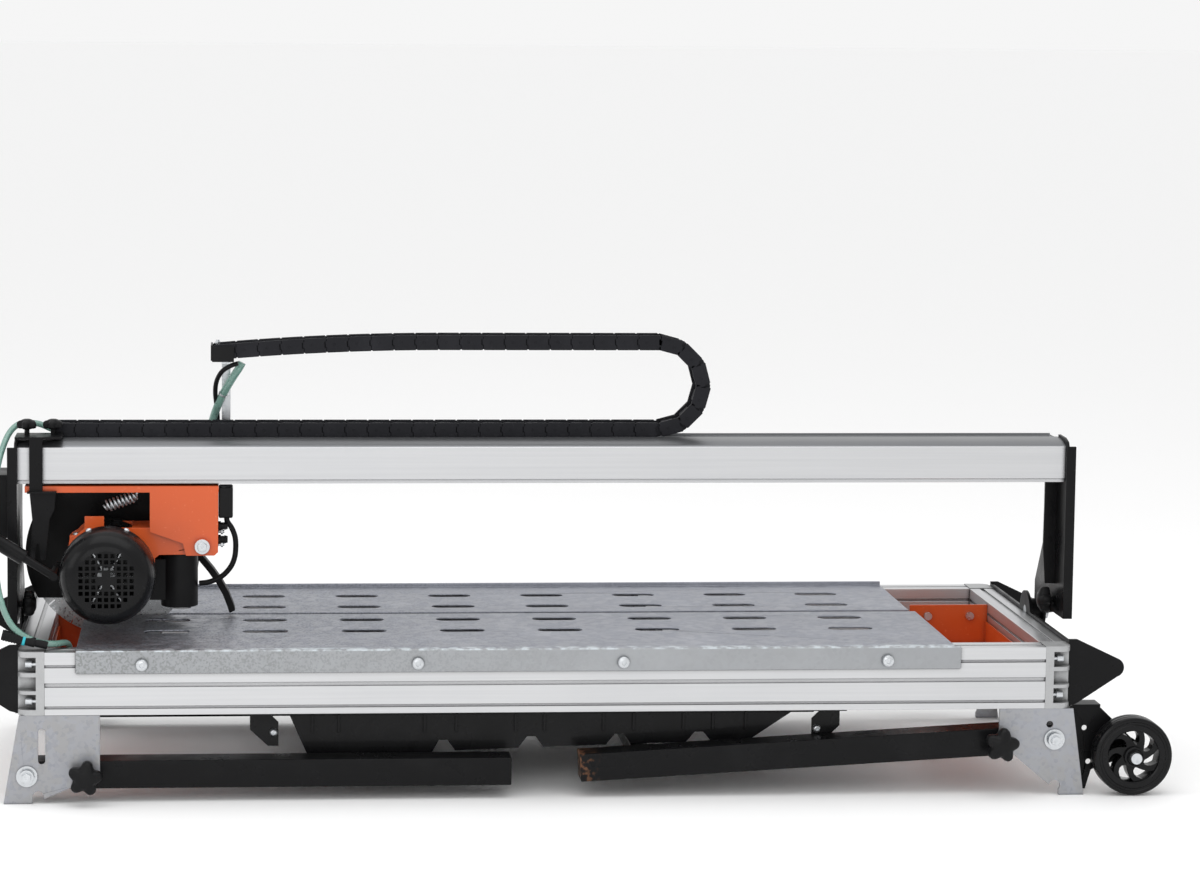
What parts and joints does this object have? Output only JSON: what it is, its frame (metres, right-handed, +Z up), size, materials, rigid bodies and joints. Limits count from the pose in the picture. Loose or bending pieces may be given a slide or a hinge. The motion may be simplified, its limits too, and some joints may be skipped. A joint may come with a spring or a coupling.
{
  "type": "wet tile saw",
  "caption": "Electric rail tile saw: slotted galvanised table on an aluminium frame with folding legs, overhead beam, rolling blade head and cable chain.",
  "frame": {"origin": "on the floor under the middle of the whole machine, stored standing on its foot plates", "axes": "+X along the cut from the head's parking end to the wheels, +Y from the motor side to the far side, +Z up"},
  "size_m": [1.743, 0.565, 0.649],
  "materials": {
    "frame_aluminium": "satin anodised extrusion, fine lengthwise lines",
    "cast_aluminium": "bead-blasted grey casting",
    "galvanised_sheet": "hot-dip galvanised with spangle, scuffed",
    "zinc_fasteners": "bright zinc plate",
    "orange_paint": "satin orange powder coat",
    "black_paint": "satin black powder coat",
    "black_plastic": "moulded black plastic",
    "chain_plastic": "glass-filled nylon chain links",
    "motor_black": "semi-gloss black",
    "hose_green": "pale green clear hose",
    "cable_black": "black rubber lead",
    "switch_red": "red rocker",
    "blade_steel": "ground steel disc"
  },
  "bodies": {
    "frame": {"front_rail": "frame_aluminium", "rear_rail": "frame_aluminium", "left_end_rail": "frame_aluminium", "right_end_rail": "frame_aluminium", "corner_castings": "cast_aluminium", "frame_screws": "zinc_fasteners", "cross_bars": "frame_aluminium", "front_table": "galvanised_sheet", "rear_table": "galvanised_sheet", "inner_trays": "orange_paint", "left_end_bracket": "black_paint", "right_end_bracket": "black_paint", "tilt_bolts": "zinc_fasteners", "left_feet": "galvanised_sheet", "right_feet": "galvanised_sheet", "leg_bolts": "zinc_fasteners", "wheel_brackets": "black_paint", "water_tray": "black_plastic", "tray_hangers": "black_paint", "pump": "black_plastic", "water_hose": "hose_green"},
    "front_wheel": {"front_wheel": "black_plastic"},
    "rear_wheel": {"rear_wheel": "black_plastic"},
    "left_legs": {"left_legs": "black_paint"},
    "right_legs": {"right_legs": "black_paint"},
    "front_left_knob": {"front_left_knob": "black_plastic"},
    "rear_left_knob": {"rear_left_knob": "black_plastic"},
    "front_right_knob": {"front_right_knob": "black_plastic"},
    "rear_right_knob": {"rear_right_knob": "black_plastic"},
    "gantry": {"beam": "frame_aluminium", "left_post": "black_paint", "right_post": "black_paint", "control_box": "black_plastic", "chain_lower": "chain_plastic"},
    "power_switch": {"power_switch": "switch_red"},
    "left_tilt_knob": {"left_tilt_knob": "black_plastic"},
    "right_tilt_knob": {"right_tilt_knob": "black_plastic"},
    "chain_loop": {"chain_bend": "chain_plastic", "chain_upper": "chain_plastic"},
    "carriage": {"carriage_plate": "orange_paint", "trolley": "black_paint", "carriage_strap": "black_paint", "chain_strut": "zinc_fasteners", "switch_box": "black_plastic", "feed_hose": "hose_green", "motor_cable": "cable_black", "lift_spring": "zinc_fasteners"},
    "left_wheelset": {"left_wheelset": "zinc_fasteners"},
    "right_wheelset": {"right_wheelset": "zinc_fasteners"},
    "left_clamp_knob": {"left_clamp_knob": "black_plastic"},
    "right_clamp_knob": {"right_clamp_knob": "black_plastic"},
    "head": {"motor_arm": "orange_paint", "motor_body": "motor_black", "fan_cover": "motor_black", "capacitor_box": "black_plastic", "blade_guard": "black_paint", "pull_handle": "black_paint"},
    "cutter": {"blade": "blade_steel", "blade_flanges": "blade_steel", "motor_shaft": "zinc_fasteners"}
  },
  "joints": [
    {"name": "gantry_tilt", "type": "hinge", "parent": "frame", "child": "gantry", "pos_m": [-0.0335, 0.018, 0.22], "axis": [-1, 0, 0], "range_deg": [0, 45], "deforming": ["water_hose"]},
    {"name": "carriage_slide", "type": "slide", "parent": "gantry", "child": "carriage", "axis": [1, 0, 0], "range_m": [0, 1.18], "deforming": ["chain_lower", "chain_upper", "water_hose"]},
    {"name": "chain_roll", "type": "slide", "parent": "gantry", "child": "chain_loop", "axis": [1, 0, 0], "range_m": [0, 0.59]},
    {"name": "left_wheelset_roll", "type": "hinge", "parent": "carriage", "child": "left_wheelset", "pos_m": [-0.7335, -0.055, 0.4532], "axis": [0, 1, 0], "continuous": true},
    {"name": "right_wheelset_roll", "type": "hinge", "parent": "carriage", "child": "right_wheelset", "pos_m": [-0.5535, -0.055, 0.4532], "axis": [0, 1, 0], "continuous": true},
    {"name": "head_lift", "type": "hinge", "parent": "carriage", "child": "head", "pos_m": [-0.531, 0, 0.345], "axis": [0, 1, 0], "range_deg": [0, 13], "deforming": ["lift_spring", "motor_cable"]},
    {"name": "blade_spin", "type": "hinge", "parent": "head", "child": "cutter", "pos_m": [-0.6655, 0.018, 0.315], "axis": [0, 1, 0], "continuous": true},
    {"name": "left_legs_fold", "type": "hinge", "parent": "frame", "child": "left_legs", "pos_m": [-0.7765, 0, 0.04], "axis": [0, 1, 0], "range_deg": [0, 90]},
    {"name": "right_legs_fold", "type": "hinge", "parent": "frame", "child": "right_legs", "pos_m": [0.6995, 0, 0.082], "axis": [0, -1, 0], "range_deg": [0, 86.8]},
    {"name": "front_left_knob_turn", "type": "hinge", "parent": "left_legs", "child": "front_left_knob", "pos_m": [-0.6945, -0.26, 0.04], "axis": [0, -1, 0], "continuous": true},
    {"name": "rear_left_knob_turn", "type": "hinge", "parent": "left_legs", "child": "rear_left_knob", "pos_m": [-0.6945, 0.26, 0.04], "axis": [0, 1, 0], "continuous": true},
    {"name": "front_right_knob_turn", "type": "hinge", "parent": "right_legs", "child": "front_right_knob", "pos_m": [0.61763, -0.26, 0.07742], "axis": [0, -1, 0], "continuous": true},
    {"name": "rear_right_knob_turn", "type": "hinge", "parent": "right_legs", "child": "rear_right_knob", "pos_m": [0.61763, 0.26, 0.07742], "axis": [0, 1, 0], "continuous": true},
    {"name": "front_wheel_spin", "type": "hinge", "parent": "frame", "child": "front_wheel", "pos_m": [0.8145, -0.232, 0.058], "axis": [0, 1, 0], "continuous": true},
    {"name": "rear_wheel_spin", "type": "hinge", "parent": "frame", "child": "rear_wheel", "pos_m": [0.8145, 0.232, 0.058], "axis": [0, 1, 0], "continuous": true},
    {"name": "left_clamp_knob_turn", "type": "hinge", "parent": "carriage", "child": "left_clamp_knob", "pos_m": [-0.7865, -0.08, 0.514], "axis": [0, 0, 1], "continuous": true},
    {"name": "right_clamp_knob_turn", "type": "hinge", "parent": "carriage", "child": "right_clamp_knob", "pos_m": [-0.7485, -0.08, 0.514], "axis": [0, 0, 1], "continuous": true},
    {"name": "left_tilt_knob_turn", "type": "hinge", "parent": "gantry", "child": "left_tilt_knob", "pos_m": [-0.7925, -0.06, 0.25], "axis": [1, 0, 0], "continuous": true},
    {"name": "right_tilt_knob_turn", "type": "hinge", "parent": "gantry", "child": "right_tilt_knob", "pos_m": [0.7385, -0.06, 0.25], "axis": [1, 0, 0], "continuous": true},
    {"name": "power_switch_press", "type": "slide", "parent": "gantry", "child": "power_switch", "axis": [0, 1, 0], "range_m": [0, 0.003], "stiffness_N_per_m": 400}
  ],
  "couplings": [
    {"joint": "chain_roll", "follows": "carriage_slide", "ratio": 0.5},
    {"joint": "left_wheelset_roll", "follows": "carriage_slide", "rad_per_m": 83.333},
    {"joint": "right_wheelset_roll", "follows": "carriage_slide", "rad_per_m": 83.333}
  ]
}
